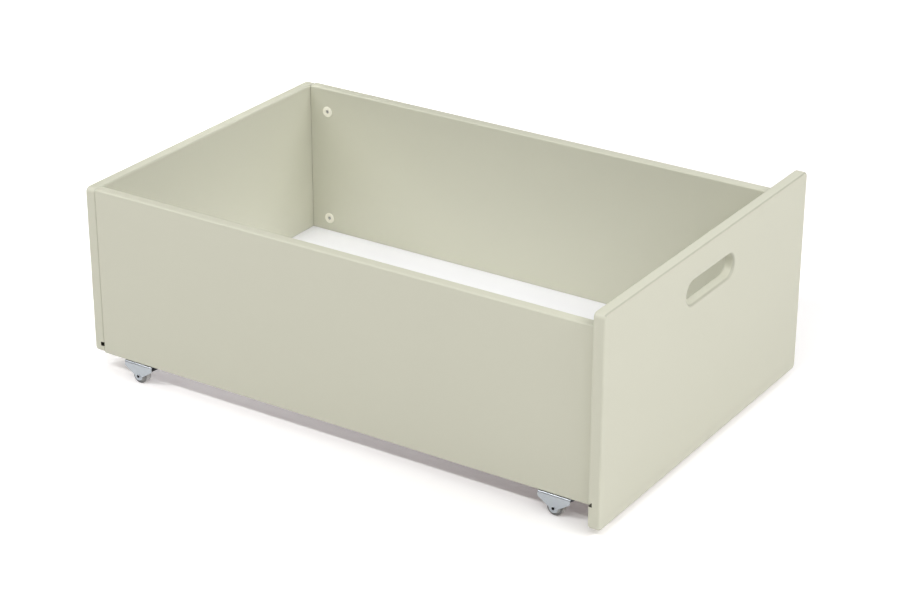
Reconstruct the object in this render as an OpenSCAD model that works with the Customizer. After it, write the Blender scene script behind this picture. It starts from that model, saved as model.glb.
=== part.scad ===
// Under bed box: a low painted storage box on four fixed casters, open at the top.
// The front panel stands at -Y and has the hand slot. The floor is at Z = 0.

/* [Box] */
// Overall depth, from the front face to the back face
box_depth = 900; // [600:5:1100]
// Width across the outer faces of the two side panels
box_width = 560; // [360:5:900]
// Height of the side panels and the back panel
side_height = 270; // [160:5:400]
// Thickness of each side panel
side_board = 18; // [16:0.5:25]
// Thickness of the back panel
back_board = 18; // [16:0.5:25]
// Radius of the eased edges of the painted panels
edge_ease = 3; // [1:0.25:4]
// Radius of the small easing at the ends of the side panels
end_ease = 1; // [0.5:0.25:2]
// Radius of the corners of the front and back panels
corner_radius = 8; // [5:0.5:20]

/* [Front panel] */
// Thickness of the front panel
front_board = 18; // [16:0.5:25]
// How far the front panel stands out past each side panel
front_overhang = 20; // [5:1:40]
// How far the front panel rises above the side panels
front_rise = 30; // [5:1:60]
// How far the front panel hangs below the side panels
front_drop = 24; // [5:1:26]

/* [Hand slot] */
// Length of the slot, round ends included
slot_length = 140; // [90:1:220]
// Height of the slot
slot_height = 35; // [22:1:45]
// Distance from the top of the front panel to the slot
slot_below_top = 45; // [25:1:90]
// Radius of the slot's eased front edge
slot_front_ease = 4.5; // [1:0.5:8]
// Radius of the slot's eased back edge
slot_back_ease = 5; // [2:0.5:9]

/* [Base] */
// Thickness of the base panel
base_board = 6; // [4:0.5:10]
// Height of the base panel's underside above the lower edges of the side panels
base_lift = 11.5; // [6:0.5:14]
// Depth of the grooves that hold the base panel
groove_depth = 6.5; // [4:0.5:9]
// Play between the base panel and its grooves
base_play = 0.4; // [0.2:0.1:0.8]

/* [Cam fittings] */
// Distance of a fitting from the upper or lower edge of a side panel
cam_inset = 40; // [34:1:60]
// Distance of a cam's axis from the end of its side panel
cam_setback = 34; // [26:1:45]
// Diameter of a cam housing's barrel
housing_diameter = 15; // [14:0.5:20]
// Wall of a cam housing
housing_wall = 1.4; // [1:0.1:1.8]
// Diameter of a cam housing's flange
flange_diameter = 18; // [17:0.5:26]
// Thickness of a cam housing's flange, which stands on the inner face
flange_height = 1.2; // [0.8:0.1:2]
// Thickness of a cam housing's face below the flange
face_thickness = 1; // [0.6:0.1:1.6]
// Diameter of the hole for the driver in a cam housing's face
driver_hole = 6; // [5:0.25:8]
// Depth of the bolt's axis below the inner face of the side panel
bolt_depth = 9; // [8.5:0.25:11]
// Rim of a cam, which the bolt's head pulls on
cam_rim = 1.2; // [0.8:0.1:1.6]
// Diameter of a cam bolt's thread
bolt_thread = 5; // [4:0.25:6]
// Length of a cam bolt's thread in the front or back panel
bolt_bite = 11; // [8:0.5:13]
// Diameter of a cam bolt's collar
bolt_collar = 7; // [6.5:0.25:9]
// Length of a cam bolt's collar
collar_length = 2; // [1:0.25:4]
// Diameter of a cam bolt's shank
bolt_shank = 6; // [5:0.25:6.5]
// Diameter of a cam bolt's neck
bolt_neck = 4; // [3:0.25:4.5]
// Diameter of a cam bolt's head
bolt_head = 6.8; // [6:0.1:7]
// Length of a cam bolt's head
bolt_head_length = 3.6; // [2.5:0.1:4.5]

/* [Dowels] */
// Diameter of a wooden dowel
dowel_diameter = 8; // [6:0.5:10]
// Length of a wooden dowel
dowel_length = 30; // [24:1:40]
// Length of a dowel in the front or back panel
dowel_bite = 11; // [8:0.5:13]

/* [Casters] */
// Height of a caster, from the floor to the lower edge of the side panel
caster_height = 34; // [31:0.5:50]
// Distance from the front or back panel's inner face to a caster's axle
caster_setback = 65; // [45:1:150]
// Diameter of a wheel
wheel_diameter = 25; // [20:0.5:27]
// Width of a wheel's tread
tread_width = 13; // [8:0.5:20]
// Radius of a tread's round edges
tread_round = 2; // [0.5:0.25:3]
// Diameter of a wheel's hub
hub_diameter = 11; // [9:0.5:13]
// How far a wheel's hub stands out past the tread on each side
hub_step = 0.7; // [0.3:0.1:1.5]
// Depth of the hollow between hub and rim on each side of a wheel
wheel_hollow = 1.6; // [0.5:0.1:2.5]
// Thickness of a wheel's rim under the tread
rim_thickness = 3; // [2:0.25:3.5]
// Thickness of a bracket's sheet steel
sheet = 1.5; // [1:0.1:2]
// Length of a bracket's plate
plate_length = 52; // [44:1:80]
// Height of a bracket's cheeks at the ends of the plate
cheek_end = 9; // [6:0.25:12]
// Radius of a bracket's cheeks around the axle
cheek_round = 7.25; // [5:0.25:9]
// Inside radius of a bracket's bends
bend_radius = 2.5; // [0.5:0.25:3]
// Diameter of an axle rivet
axle_diameter = 5; // [4:0.25:6]
// Bore of an axle rivet
axle_bore = 3.4; // [2:0.1:3.6]
// Diameter of an axle rivet's heads
rivet_head = 7; // [6.5:0.25:9]
// Thickness of an axle rivet's heads
rivet_head_height = 1; // [0.6:0.1:1.5]
// Distance of a bracket's screws from the ends of its plate
screw_inset = 7; // [5:0.5:9]
// Diameter of a bracket's screws
screw_diameter = 3.5; // [3:0.25:4.5]
// Length of a bracket's screws below the head
screw_length = 16; // [12:1:25]
// Diameter of a bracket's screw heads
screw_head = 7; // [6:0.25:8]
// Height of a bracket's screw heads
screw_head_height = 2.2; // [1.5:0.1:3]

/* [Clearances] */
// Clearance around bolts, dowels, screws and housings in their holes
fit_clearance = 0.1; // [0.05:0.05:0.3]
// Clearance of a cam in its housing
cam_play = 0.1; // [0.05:0.05:0.3]
// Running clearance of a wheel on its axle
axle_play = 0.08; // [0.02:0.01:0.1]
// Clearance on each side of a wheel's hub
hub_play = 0.3; // [0.2:0.05:0.6]
// Spare depth at the bottom of each blind hole
hole_spare = 1; // [0.5:0.25:2]

/* [Hidden] */
$fn = 64;
// Overlap that carries a cut past the faces that it opens
past = 1;

// Heights
side_bottom = caster_height;
side_top = side_bottom + side_height;
front_bottom = side_bottom - front_drop;
front_top = side_top + front_rise;
groove_bottom = side_bottom + base_lift;
slot_centre = front_top - slot_below_top - slot_height / 2;
dowel_height = side_bottom + side_height / 2;

// Places across and along the box
front_face = -box_depth / 2;
front_inner = front_face + front_board;
back_face = box_depth / 2;
back_inner = back_face - back_board;
side_length = back_inner - front_inner;
side_middle = (front_inner + back_inner) / 2;
side_outer = box_width / 2;
side_inner = side_outer - side_board;
side_centre = side_outer - side_board / 2;
front_width = box_width + 2 * front_overhang;
front_height = front_top - front_bottom;
cam_heights = [side_bottom + cam_inset, side_top - cam_inset];
ends = [-1, 1];
sides = [-1, 1];

// Cam fitting sizes that follow from the others
cam_radius = housing_diameter / 2 - housing_wall - cam_play;
cam_void = cam_radius - cam_rim;
cam_floor = 0.5;
void_half = bolt_head / 2 + cam_play;
housing_depth = bolt_depth + void_half + cam_floor;
cam_top = face_thickness + cam_play;
head_seat = sqrt(pow(cam_void, 2) - pow(bolt_head / 2, 2)) - cam_play;
head_start = cam_setback - head_seat;
head_end = head_start + bolt_head_length;
neck_spare = 1;
neck_start = cam_setback - housing_diameter / 2 - neck_spare;
bolt_bore = max(bolt_collar, bolt_head) + 2 * fit_clearance;
neck_gap = bolt_neck + 4 * cam_play;
cam_swing = 110;
bolt_bevel = 0.5;
recess_length = 5;
recess_width = 1.3;
recess_depth = 2.5;

// Holes
housing_hole = housing_diameter + 2 * fit_clearance;
thread_hole = bolt_thread + 2 * fit_clearance;
dowel_hole = dowel_diameter + 2 * fit_clearance;
screw_hole = screw_diameter + 2 * fit_clearance;
axle_hole = axle_diameter + 2 * fit_clearance;
groove_height = base_board + base_play;
dowel_bevel = 1;

// Caster sizes that follow from the others
axle_height = wheel_diameter / 2;
hub_width = tread_width + 2 * hub_step;
bracket_gap = hub_width + 2 * hub_play;
bracket_width = bracket_gap + 2 * sheet;
screw_along = plate_length / 2 - screw_inset;
screw_point = 4;
screw_tip = 1;
cross_length = 3.5;
cross_width = 0.9;

paint = [0.82, 0.81, 0.73];
white = [0.93, 0.93, 0.93];
cream = [0.92, 0.91, 0.85];
zinc = [0.75, 0.77, 0.80];
birch = [0.85, 0.72, 0.52];
grey = [0.78, 0.78, 0.76];

// Y of the joint between a side panel and the front (end -1) or back (end 1) panel
function joint_place(end) = end < 0 ? front_inner : back_inner;

// Y of the casters at the front (end -1) or back (end 1)
function caster_place(end) = joint_place(end) - end * caster_setback;

// Rectangle about the origin with round corners
module round_rectangle(width, height, radius) {
    difference() {
        square([width, height], center = true);
        for (x = [-1, 1], y = [-1, 1])
            translate([x * (width / 2 - radius), y * (height / 2 - radius)])
                difference() {
                    translate([x * radius, y * radius]) square(2 * radius, center = true);
                    circle(radius);
                }
    }
}

// Upright board about the origin that faces -Y, with round corners and eased edges
module eased_board(width, height, board) {
    intersection() {
        rotate([90, 0, 0])
            linear_extrude(board, center = true) round_rectangle(width, height, corner_radius);
        linear_extrude(height, center = true) round_rectangle(width, board, edge_ease);
        rotate([90, 0, 90])
            linear_extrude(width, center = true) round_rectangle(board, height, edge_ease);
    }
}

// Children set at a corner joint at height z. There +Y runs into the side panel from its end,
// and X = 0 is the side panel's inner face, with +X towards the inside of the box.
module at_joint(side, end, z) {
    translate([side * side_inner, joint_place(end), z])
        mirror([side > 0 ? 1 : 0, 0, 0])
            mirror([0, end > 0 ? 1 : 0, 0])
                children();
}

// Children set on the cam's axis, with +Z into the side panel from its inner face
module on_cam_axis() {
    translate([0, cam_setback, 0]) rotate([0, -90, 0]) children();
}

// Children set on the bolt's axis, with +Z into the side panel from its end
module on_bolt_axis() {
    translate([-bolt_depth, 0, 0]) rotate([-90, 0, 0]) children();
}

// Children set at each end of the two corners of one side panel
module at_side_ends(side) {
    for (end = ends) {
        for (z = cam_heights)
            at_joint(side, end, z) children(0);
        at_joint(side, end, dowel_height) children(1);
    }
}

// Holes of one cam fitting in the side panel
module side_fitting_holes() {
    on_cam_axis() translate([0, 0, -past])
        cylinder(h = housing_depth + past, d = housing_hole);
    on_bolt_axis() translate([0, 0, -past])
        cylinder(h = cam_setback + past, d = bolt_bore);
}

// Hole of one dowel in the side panel
module side_dowel_hole() {
    on_bolt_axis() translate([0, 0, -past])
        cylinder(h = dowel_length - dowel_bite + hole_spare + past, d = dowel_hole);
}

// Holes of the bolts and dowels in the front (end -1) or back (end 1) panel
module panel_holes(end) {
    for (side = sides) {
        for (z = cam_heights)
            at_joint(side, end, z) on_bolt_axis() translate([0, 0, -bolt_bite - hole_spare])
                cylinder(h = bolt_bite + hole_spare + past, d = thread_hole);
        at_joint(side, end, dowel_height) on_bolt_axis() translate([0, 0, -dowel_bite - hole_spare])
            cylinder(h = dowel_bite + hole_spare + past, d = dowel_hole);
    }
}

// Groove for the base panel across a panel of the given width, cut from its inner face
module panel_groove(end, width) {
    across = width + 2 * past;
    deep = groove_depth + past;
    middle = joint_place(end) + end * (groove_depth - past) / 2;
    translate([-across / 2, middle - deep / 2, groove_bottom])
        cube([across, deep, groove_height]);
}

// Half profile of the hand slot along the panel's thickness, flared at both faces.
// The profile's X is measured from the slot's middle plane, and its Y from the front face.
module slot_half_profile(half) {
    reach = max(slot_front_ease, slot_back_ease);
    wall = front_board - slot_front_ease - slot_back_ease;
    difference() {
        translate([0, -past]) square([half + reach, front_board + 2 * past]);
        translate([half, slot_front_ease]) square([reach + past, wall]);
        translate([half, slot_front_ease]) slot_lip(slot_front_ease, reach);
        translate([half, front_board - slot_back_ease]) mirror([0, 1]) slot_lip(slot_back_ease, reach);
    }
}

// Section of the panel between the slot's wall and one face, round by the given radius.
// The origin is where the round meets the wall, and the face lies towards -Y.
module slot_lip(radius, reach) {
    translate([radius, 0]) circle(radius);
    translate([radius, -radius - past]) square([reach + past, radius + past]);
}

// Cut for the hand slot: a straight length with a half round at each end
module hand_slot() {
    half = slot_height / 2;
    straight = slot_length - slot_height;
    translate([0, front_face, slot_centre]) {
        rotate([90, 0, 90]) linear_extrude(straight, center = true)
            for (flip = [0, 1]) mirror([0, flip]) rotate(90) mirror([0, 1]) slot_half_profile(half);
        for (side = sides) translate([side * straight / 2, 0, 0])
            rotate([-90, 0, 0]) rotate(side < 0 ? 90 : -90)
                rotate_extrude(angle = 180) slot_half_profile(half);
    }
}

// One side panel, on the left (side -1) or right (side 1)
module side_panel(side) {
    groove_middle = side * (side_inner + (groove_depth - past) / 2);
    difference() {
        translate([side * side_centre, side_middle, (side_bottom + side_top) / 2]) intersection() {
            rotate([90, 0, 0]) linear_extrude(side_length, center = true)
                round_rectangle(side_board, side_height, edge_ease);
            linear_extrude(side_height, center = true)
                round_rectangle(side_board, side_length, end_ease);
        }
        translate([groove_middle, side_middle, groove_bottom + groove_height / 2])
            cube([groove_depth + past, side_length + 2 * past, groove_height], center = true);
        at_side_ends(side) {
            side_fitting_holes();
            side_dowel_hole();
        }
        for (end = ends) at_caster(side, end) bracket_screw_places() translate([0, 0, -past])
            cylinder(h = screw_length - sheet + hole_spare + past, d = screw_hole);
    }
}

// Children set at a caster, with Z = 0 at the lower edge of the side panel
module at_caster(side, end) {
    translate([side * side_centre, caster_place(end), caster_height]) children();
}

// Children set at the two screws of a bracket
module bracket_screw_places() {
    for (along = [-screw_along, screw_along])
        translate([0, along, 0]) children();
}

// Outline of a bracket from the side: a plate whose cheeks narrow to a round at the axle.
// Each flank runs straight from the plate's end to the round, which it meets at the axle's height.
module cheek_outline() {
    drop = caster_height - axle_height;
    reach = plate_length / 2;
    rise = drop - cheek_end;
    // The two flanks' lines cross below the axle, inside the round
    tip = -min(rise * cheek_round / (reach - cheek_round), cheek_round - sheet);
    translate([0, -drop]) {
        circle(cheek_round);
        polygon([[-reach, drop], [-reach, rise], [0, tip], [reach, rise], [reach, drop]]);
    }
}

// Section of a bracket's channel, open downwards, with round bends
module channel_section() {
    deep = caster_height;
    outer = bend_radius + sheet;
    difference() {
        translate([0, -deep]) round_rectangle(bracket_width, 2 * deep, outer);
        translate([0, -deep - sheet]) round_rectangle(bracket_gap, 2 * deep, bend_radius);
    }
}

// One caster bracket, pressed from one piece of sheet
module bracket() {
    difference() {
        intersection() {
            rotate([90, 0, 0]) linear_extrude(plate_length, center = true) channel_section();
            rotate([90, 0, 90]) linear_extrude(bracket_width, center = true) cheek_outline();
        }
        translate([0, 0, axle_height - caster_height]) rotate([0, 90, 0])
            cylinder(h = bracket_width + 2 * past, d = axle_hole, center = true);
        bracket_screw_places() translate([0, 0, -sheet - past])
            cylinder(h = sheet + 2 * past, d = screw_hole);
    }
}

// One axle: a hollow rivet with a head outside each cheek
module axle() {
    translate([0, 0, axle_height - caster_height]) rotate([0, 90, 0]) difference() {
        union() {
            cylinder(h = bracket_width, d = axle_diameter, center = true);
            for (side = sides) mirror([0, 0, side < 0 ? 1 : 0]) translate([0, 0, bracket_width / 2])
                cylinder(h = rivet_head_height, d1 = rivet_head, d2 = rivet_head - rivet_head_height);
        }
        cylinder(h = bracket_width + 2 * rivet_head_height + 2 * past, d = axle_bore, center = true);
    }
}

// One wheel: a hub, a thin web and a rim with a round edged tread
module wheel() {
    bore = axle_diameter / 2 + axle_play;
    radius = wheel_diameter / 2;
    rim_inner = radius - rim_thickness;
    web = tread_width - 2 * wheel_hollow;
    translate([0, 0, axle_height - caster_height]) rotate([0, 90, 0]) rotate_extrude() difference() {
        union() {
            translate([0, -hub_width / 2]) square([hub_diameter / 2, hub_width]);
            translate([0, -web / 2]) square([rim_inner + past, web]);
            intersection() {
                round_rectangle(wheel_diameter, tread_width, tread_round);
                translate([rim_inner, -tread_width]) square([wheel_diameter, 2 * tread_width]);
            }
        }
        translate([0, -hub_width]) square([bore, 2 * hub_width]);
    }
}

// One wood screw, head down, that comes up through the plate
module bracket_screw() {
    translate([0, 0, -sheet]) {
        cylinder(h = screw_length - screw_point, d = screw_diameter);
        translate([0, 0, screw_length - screw_point])
            cylinder(h = screw_point, d1 = screw_diameter, d2 = screw_tip);
        translate([0, 0, -screw_head_height]) difference() {
            cylinder(h = screw_head_height, d1 = screw_head - screw_head_height, d2 = screw_head);
            for (turn = [0, 90]) rotate(turn)
                cube([cross_length, cross_width, screw_head_height], center = true);
        }
    }
}

// One cam housing: a cup with a flange, open to the bolt on the side of the joint
module cam_housing() {
    bevel = flange_height / 2;
    on_cam_axis() difference() {
        union() {
            cylinder(h = housing_depth, d = housing_diameter);
            translate([0, 0, bevel - flange_height])
                cylinder(h = flange_height - bevel, d = flange_diameter);
            translate([0, 0, -flange_height])
                cylinder(h = bevel, d1 = flange_diameter - 2 * bevel, d2 = flange_diameter);
        }
        translate([0, 0, face_thickness])
            cylinder(h = housing_depth, d = housing_diameter - 2 * housing_wall);
        translate([0, 0, -flange_height - past])
            cylinder(h = flange_height + face_thickness + 2 * past, d = driver_hole);
        translate([0, 0, bolt_depth]) rotate([90, 0, 0]) cylinder(h = housing_diameter, d = bolt_bore);
    }
}

// One cam: a hollow drum, with a narrow slot round its rim for the bolt's neck, a mouth for
// the bolt's head at the end of the slot, and a cross recess for the driver
module cam_lock() {
    rim_cut = cam_rim + 2 * past;
    on_cam_axis() difference() {
        translate([0, 0, cam_top]) cylinder(h = housing_depth - cam_top, r = cam_radius);
        translate([0, 0, bolt_depth - void_half]) cylinder(h = 2 * void_half, r = cam_void);
        translate([0, 0, bolt_depth]) {
            rotate(-90) rotate_extrude(angle = cam_swing)
                translate([cam_void - past, -neck_gap / 2]) square([rim_cut, neck_gap]);
            rotate([90, 0, 0]) cylinder(h = cam_radius + past, d = neck_gap);
            rotate(cam_swing - 90) translate([cam_void / 2, -void_half, -void_half])
                cube([cam_void / 2 + rim_cut, 2 * void_half, 2 * void_half]);
        }
        for (turn = [0, 90]) rotate(turn) translate([0, 0, cam_top])
            cube([recess_length, recess_width, 2 * recess_depth], center = true);
    }
}

// One cam bolt: thread, collar, shank, neck and head on one axis
module cam_bolt() {
    on_bolt_axis() rotate_extrude() polygon([
        [0, -bolt_bite], [bolt_thread / 2 - bolt_bevel, -bolt_bite],
        [bolt_thread / 2, bolt_bevel - bolt_bite], [bolt_thread / 2, 0],
        [bolt_collar / 2, 0], [bolt_collar / 2, collar_length],
        [bolt_shank / 2, collar_length], [bolt_shank / 2, neck_start],
        [bolt_neck / 2, neck_start], [bolt_neck / 2, head_start],
        [bolt_head / 2, head_start], [bolt_head / 2, head_end - bolt_bevel],
        [bolt_head / 2 - bolt_bevel, head_end], [0, head_end]
    ]);
}

// One wooden dowel with bevelled ends
module wood_dowel() {
    radius = dowel_diameter / 2;
    on_bolt_axis() translate([0, 0, -dowel_bite]) rotate_extrude() polygon([
        [0, 0], [radius - dowel_bevel, 0], [radius, dowel_bevel], [radius, dowel_length - dowel_bevel],
        [radius - dowel_bevel, dowel_length], [0, dowel_length]
    ]);
}

module front_panel() {
    color(paint) difference() {
        translate([0, front_face + front_board / 2, (front_bottom + front_top) / 2])
            eased_board(front_width, front_height, front_board);
        panel_groove(-1, front_width);
        panel_holes(-1);
        hand_slot();
    }
}

module back_panel() {
    color(paint) difference() {
        translate([0, back_face - back_board / 2, (side_bottom + side_top) / 2])
            eased_board(box_width, side_height, back_board);
        panel_groove(1, box_width);
        panel_holes(1);
    }
}

module left_side_panel() { color(paint) side_panel(-1); }
module right_side_panel() { color(paint) side_panel(1); }

module base_panel() {
    hidden_edge = groove_depth - base_play;
    color(white) translate([0, side_middle, groove_bottom + base_board / 2])
        cube([2 * (side_inner + hidden_edge), side_length + 2 * hidden_edge, base_board], center = true);
}

// Children set at all eight cam fittings
module at_every_cam() {
    for (side = sides, end = ends, z = cam_heights)
        at_joint(side, end, z) children();
}

module cam_housings() { color(cream) at_every_cam() cam_housing(); }
module cam_locks() { color(zinc) at_every_cam() cam_lock(); }
module cam_bolts() { color(zinc) at_every_cam() cam_bolt(); }

module wood_dowels() {
    color(birch) for (side = sides, end = ends) at_joint(side, end, dowel_height) wood_dowel();
}

module front_left_bracket() { color(zinc) at_caster(-1, -1) bracket(); }
module front_right_bracket() { color(zinc) at_caster(1, -1) bracket(); }
module rear_left_bracket() { color(zinc) at_caster(-1, 1) bracket(); }
module rear_right_bracket() { color(zinc) at_caster(1, 1) bracket(); }

module front_left_axle() { color(zinc) at_caster(-1, -1) axle(); }
module front_right_axle() { color(zinc) at_caster(1, -1) axle(); }
module rear_left_axle() { color(zinc) at_caster(-1, 1) axle(); }
module rear_right_axle() { color(zinc) at_caster(1, 1) axle(); }

module front_left_wheel() { color(grey) at_caster(-1, -1) wheel(); }
module front_right_wheel() { color(grey) at_caster(1, -1) wheel(); }
module rear_left_wheel() { color(grey) at_caster(-1, 1) wheel(); }
module rear_right_wheel() { color(grey) at_caster(1, 1) wheel(); }

module caster_screws() {
    color(zinc) for (side = sides, end = ends)
        at_caster(side, end) bracket_screw_places() bracket_screw();
}

front_panel();
back_panel();
left_side_panel();
right_side_panel();
base_panel();
cam_housings();
cam_locks();
cam_bolts();
wood_dowels();
front_left_bracket();
front_right_bracket();
rear_left_bracket();
rear_right_bracket();
front_left_axle();
front_right_axle();
rear_left_axle();
rear_right_axle();
front_left_wheel();
front_right_wheel();
rear_left_wheel();
rear_right_wheel();
caster_screws();
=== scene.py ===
import math

import bmesh
import bpy
from mathutils import Matrix, Vector


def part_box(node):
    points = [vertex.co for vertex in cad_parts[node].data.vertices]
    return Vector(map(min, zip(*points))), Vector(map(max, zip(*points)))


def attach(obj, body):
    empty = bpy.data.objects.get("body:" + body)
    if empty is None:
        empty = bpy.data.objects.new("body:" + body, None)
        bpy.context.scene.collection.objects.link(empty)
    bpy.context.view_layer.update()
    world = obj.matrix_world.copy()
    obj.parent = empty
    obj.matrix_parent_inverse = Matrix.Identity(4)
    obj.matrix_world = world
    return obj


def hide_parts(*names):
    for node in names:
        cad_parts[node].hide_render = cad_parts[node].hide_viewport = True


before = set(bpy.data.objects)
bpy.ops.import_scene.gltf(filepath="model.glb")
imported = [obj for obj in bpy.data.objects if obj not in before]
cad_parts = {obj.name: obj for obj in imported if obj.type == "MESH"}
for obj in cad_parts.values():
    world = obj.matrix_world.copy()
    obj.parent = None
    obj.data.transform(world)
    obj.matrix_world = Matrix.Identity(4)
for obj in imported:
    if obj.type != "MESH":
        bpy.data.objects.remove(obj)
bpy.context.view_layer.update()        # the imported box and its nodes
scene = bpy.context.scene
mm = 0.001
past = 1 * mm            # how far a cutter reaches past the face that it opens
mergeReach = 0.001 * mm  # points closer than this become one
print("frame loaded with", len(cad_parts), "nodes")


# Tools that make and finish a piece

def newPiece(name, bm):
    mesh = bpy.data.meshes.new(name)
    bm.to_mesh(mesh)
    bm.free()
    piece = bpy.data.objects.new(name, mesh)
    scene.collection.objects.link(piece)
    return piece


def removePiece(piece):
    mesh = piece.data
    bpy.data.objects.remove(piece)
    bpy.data.meshes.remove(mesh)


def bakeModifiers(piece):
    graph = bpy.context.evaluated_depsgraph_get()
    plain = piece.data
    baked = bpy.data.meshes.new_from_object(piece.evaluated_get(graph))
    piece.modifiers.clear()
    piece.data = baked
    bpy.data.meshes.remove(plain)


def cutAway(piece, bm):
    cutter = newPiece(piece.name + "Cutter", bm)
    cut = piece.modifiers.new("cut", "BOOLEAN")
    cut.operation = "DIFFERENCE"
    cut.solver = "EXACT"
    cut.object = cutter
    bakeModifiers(piece)
    removePiece(cutter)


def smoothShade(piece, sharpAngle=35):
    piece.data.shade_smooth()
    piece.data.set_sharp_from_angle(angle=math.radians(sharpAngle))
    weigh = piece.modifiers.new("weigh", "WEIGHTED_NORMAL")
    weigh.mode = "FACE_AREA"
    weigh.keep_sharp = True
    bakeModifiers(piece)


# Face attribute from 0 to 1 that the finishes read: one for rubbed edges and painted highlights,
# "hollow" for painted shade in gaps, grooves and on edges
def markFaces(piece, name, rule):
    attribute = piece.data.attributes.new(name, "FLOAT", "FACE")
    for polygon in piece.data.polygons:
        attribute.data[polygon.index].value = rule(polygon)


def easedFace(polygon):
    steepest = max(abs(part) for part in polygon.normal)
    return min(1, (1 - steepest) / (1 - math.sqrt(0.5)))    # 1 on faces at 45 degrees


def finishPiece(piece, material, body, node):
    piece.data.materials.clear()
    piece.data.materials.append(material)
    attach(piece, body)
    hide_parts(node)
    print("made", piece.name, "for", node)


# Tools that shape a mesh

def roundCorners(bm, verts, radius, segments):
    bmesh.ops.bevel(bm, geom=verts, offset=radius, offset_type="OFFSET", segments=segments,
                    profile=0.5, affect="VERTICES", material=-1)


def roundEdges(bm, edges, radius, segments):
    bmesh.ops.bevel(bm, geom=edges, offset=radius, offset_type="OFFSET", segments=segments,
                    profile=0.5, affect="EDGES", material=-1)


def sharpEdges(bm, least=60):
    return [edge for edge in bm.edges if edge.calc_face_angle(0) > math.radians(least)]


def addBlock(bm, corner, opposite):
    low = Vector(map(min, corner, opposite))
    high = Vector(map(max, corner, opposite))
    verts = bmesh.ops.create_cube(bm, size=1)["verts"]
    bmesh.ops.scale(bm, vec=high - low, verts=verts)
    bmesh.ops.translate(bm, vec=(low + high) / 2, verts=verts)


def addRod(bm, start, end, diameter, segments=48):
    run = Vector(end) - Vector(start)
    verts = bmesh.ops.create_cone(bm, cap_ends=True, segments=segments, radius1=diameter / 2,
                                  radius2=diameter / 2, depth=run.length)["verts"]
    turn = run.to_track_quat("Z", "Y").to_matrix()
    bmesh.ops.rotate(bm, cent=(0, 0, 0), matrix=turn, verts=verts)
    bmesh.ops.translate(bm, vec=(Vector(start) + Vector(end)) / 2, verts=verts)


# Flat plate with round corners about the origin, facing +Z
def addPlate(bm, width, height, radius, segments):
    verts = bmesh.ops.create_grid(bm, x_segments=1, y_segments=1, size=0.5)["verts"]
    bmesh.ops.scale(bm, vec=(width, height, 1), verts=verts)
    roundCorners(bm, verts, radius, segments)


# Ring turned about the X axis from a closed section of (radius, along, rounding) points
def turnedRing(section, segments, arcSegments=5):
    bm = bmesh.new()
    verts = [bm.verts.new((along, radius, 0)) for radius, along, rounding in section]
    for first, second in zip(verts, verts[1:] + verts[:1]):
        bm.edges.new((first, second))
    for vert, (radius, along, rounding) in zip(verts, section):
        if rounding:
            roundCorners(bm, [vert], rounding, arcSegments)
    bmesh.ops.spin(bm, geom=bm.verts[:] + bm.edges[:], cent=(0, 0, 0), axis=(1, 0, 0),
                   angle=2 * math.pi, steps=segments, use_merge=True)
    bmesh.ops.recalc_face_normals(bm, faces=bm.faces[:])
    return bm


# Half of a ring's section, and the same points mirrored to the other side
def bothSides(half):
    return half + [(radius, -along, rounding) for radius, along, rounding in reversed(half)]


# Node groups that several finishes share

# sockets of a Mix node by number, because several of them have the same name
mixFactor = 0
floatA, floatB = 2, 3
colorA, colorB = 6, 7
mixedFloat, mixedColor = 0, 2


def newGroup(name, inputs, outputs):
    group = bpy.data.node_groups.new(name, "ShaderNodeTree")
    for socket, kind, value in inputs:
        made = group.interface.new_socket(name=socket, in_out="INPUT", socket_type=kind)
        if value is not None:
            made.default_value = value
    for socket, kind in outputs:
        group.interface.new_socket(name=socket, in_out="OUTPUT", socket_type=kind)
    return group, group.nodes.new("NodeGroupInput"), group.nodes.new("NodeGroupOutput")


def addNode(tree, kind, values=None, **settings):
    node = tree.nodes.new(kind)
    for name, value in settings.items():
        setattr(node, name, value)
    for socket, value in (values or {}).items():
        node.inputs[socket].default_value = value
    return node


# Soft change of tone over a surface, with a finer speckle inside it
def makeMottleGroup(speckleShare=0.35):
    group, given, result = newGroup(
        "surfaceMottle",
        [("Vector", "NodeSocketVector", None), ("Color", "NodeSocketColor", (0.8, 0.8, 0.8, 1)),
         ("Scale", "NodeSocketFloat", 4.0), ("Speckle Scale", "NodeSocketFloat", 300.0),
         ("Amount", "NodeSocketFloat", 0.03)],
        [("Color", "NodeSocketColor"), ("Mask", "NodeSocketFloat")])
    cloud = addNode(group, "ShaderNodeTexNoise", {"Detail": 3.0, "Roughness": 0.55})
    speckle = addNode(group, "ShaderNodeTexNoise", {"Detail": 2.0, "Roughness": 0.6})
    blend = addNode(group, "ShaderNodeMix", {mixFactor: speckleShare}, data_type="FLOAT")
    swing = addNode(group, "ShaderNodeMath", {1: 0.5}, operation="SUBTRACT")    # noise about its middle
    scaled = addNode(group, "ShaderNodeMath", operation="MULTIPLY")
    level = addNode(group, "ShaderNodeMath", {1: 1.0}, operation="ADD")
    tone = addNode(group, "ShaderNodeHueSaturation")
    link = group.links.new
    link(given.outputs["Vector"], cloud.inputs["Vector"])
    link(given.outputs["Scale"], cloud.inputs["Scale"])
    link(given.outputs["Vector"], speckle.inputs["Vector"])
    link(given.outputs["Speckle Scale"], speckle.inputs["Scale"])
    link(cloud.outputs[0], blend.inputs[floatA])
    link(speckle.outputs[0], blend.inputs[floatB])
    link(blend.outputs[mixedFloat], swing.inputs[0])
    link(swing.outputs[0], scaled.inputs[0])
    link(given.outputs["Amount"], scaled.inputs[1])
    link(scaled.outputs[0], level.inputs[0])
    link(level.outputs[0], tone.inputs["Value"])
    link(given.outputs["Color"], tone.inputs["Color"])
    link(tone.outputs["Color"], result.inputs["Color"])
    link(blend.outputs[mixedFloat], result.inputs["Mask"])
    return group
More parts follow.
